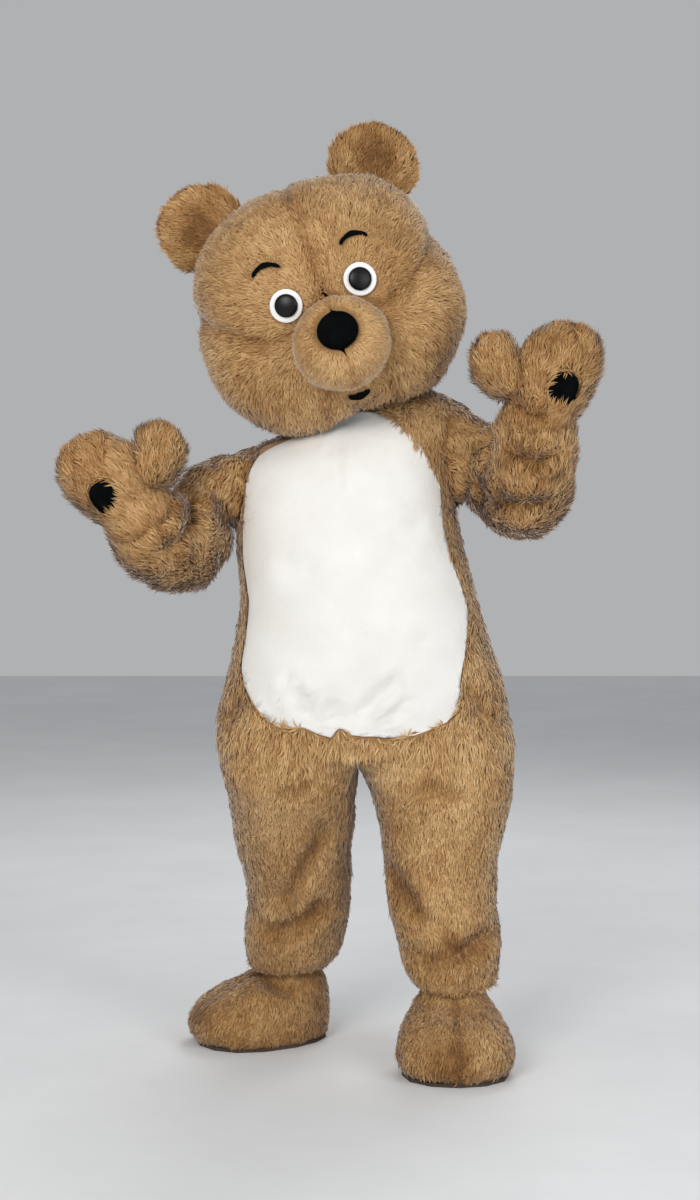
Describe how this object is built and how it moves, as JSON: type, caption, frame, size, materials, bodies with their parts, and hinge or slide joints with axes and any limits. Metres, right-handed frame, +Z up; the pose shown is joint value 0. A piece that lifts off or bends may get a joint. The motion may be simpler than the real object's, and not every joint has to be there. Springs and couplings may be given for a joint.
{
  "type": "bear mascot costume",
  "caption": "Bear mascot costume: furry suit with a white belly, big round head, mitts and boot covers, worn pose, hollow for the wearer.",
  "frame": {"origin": "middle of the neck at shoulder height, where the suit and head rest on the wearer's shoulders", "axes": "+Z up, -Y the way the wearer faces, +X to the wearer's left"},
  "size_m": [1.0655, 0.6579, 1.9333],
  "materials": {
    "fur": "long tan-brown pile fur cloth",
    "plush": "short off-white plush",
    "velvet": "matte black velvet",
    "eye_felt": "white felt",
    "pupil": "glossy black",
    "sole": "matte dark brown"
  },
  "bodies": {
    "root": {"belly_panel": "plush", "body_back_left": "fur", "body_back_right": "fur", "body_front": "fur", "boot_left_inner": "fur", "boot_left_outer": "fur", "boot_left_sole": "sole", "boot_right_inner": "fur", "boot_right_outer": "fur", "boot_right_sole": "sole", "brow_left": "velvet", "brow_right": "velvet", "ear_left_back": "fur", "ear_left_front": "fur", "ear_right_back": "fur", "ear_right_front": "fur", "eye_left_pupil": "pupil", "eye_left_white": "eye_felt", "eye_right_pupil": "pupil", "eye_right_white": "eye_felt", "head_back_left": "fur", "head_back_right": "fur", "head_cheek_left": "fur", "head_cheek_right": "fur", "head_chin": "fur", "head_crown_left": "fur", "head_crown_right": "fur", "leg_left_back": "fur", "leg_left_front": "fur", "leg_right_back": "fur", "leg_right_front": "fur", "mitt_left_back": "fur", "mitt_left_pad": "velvet", "mitt_left_palm": "fur", "mitt_left_thumb": "fur", "mitt_right_back": "fur", "mitt_right_pad": "velvet", "mitt_right_palm": "fur", "mitt_right_thumb": "fur", "mouth": "velvet", "muzzle_left": "fur", "muzzle_right": "fur", "nose": "velvet", "sleeve_left": "fur", "sleeve_right": "fur"}
  },
  "joints": []
}
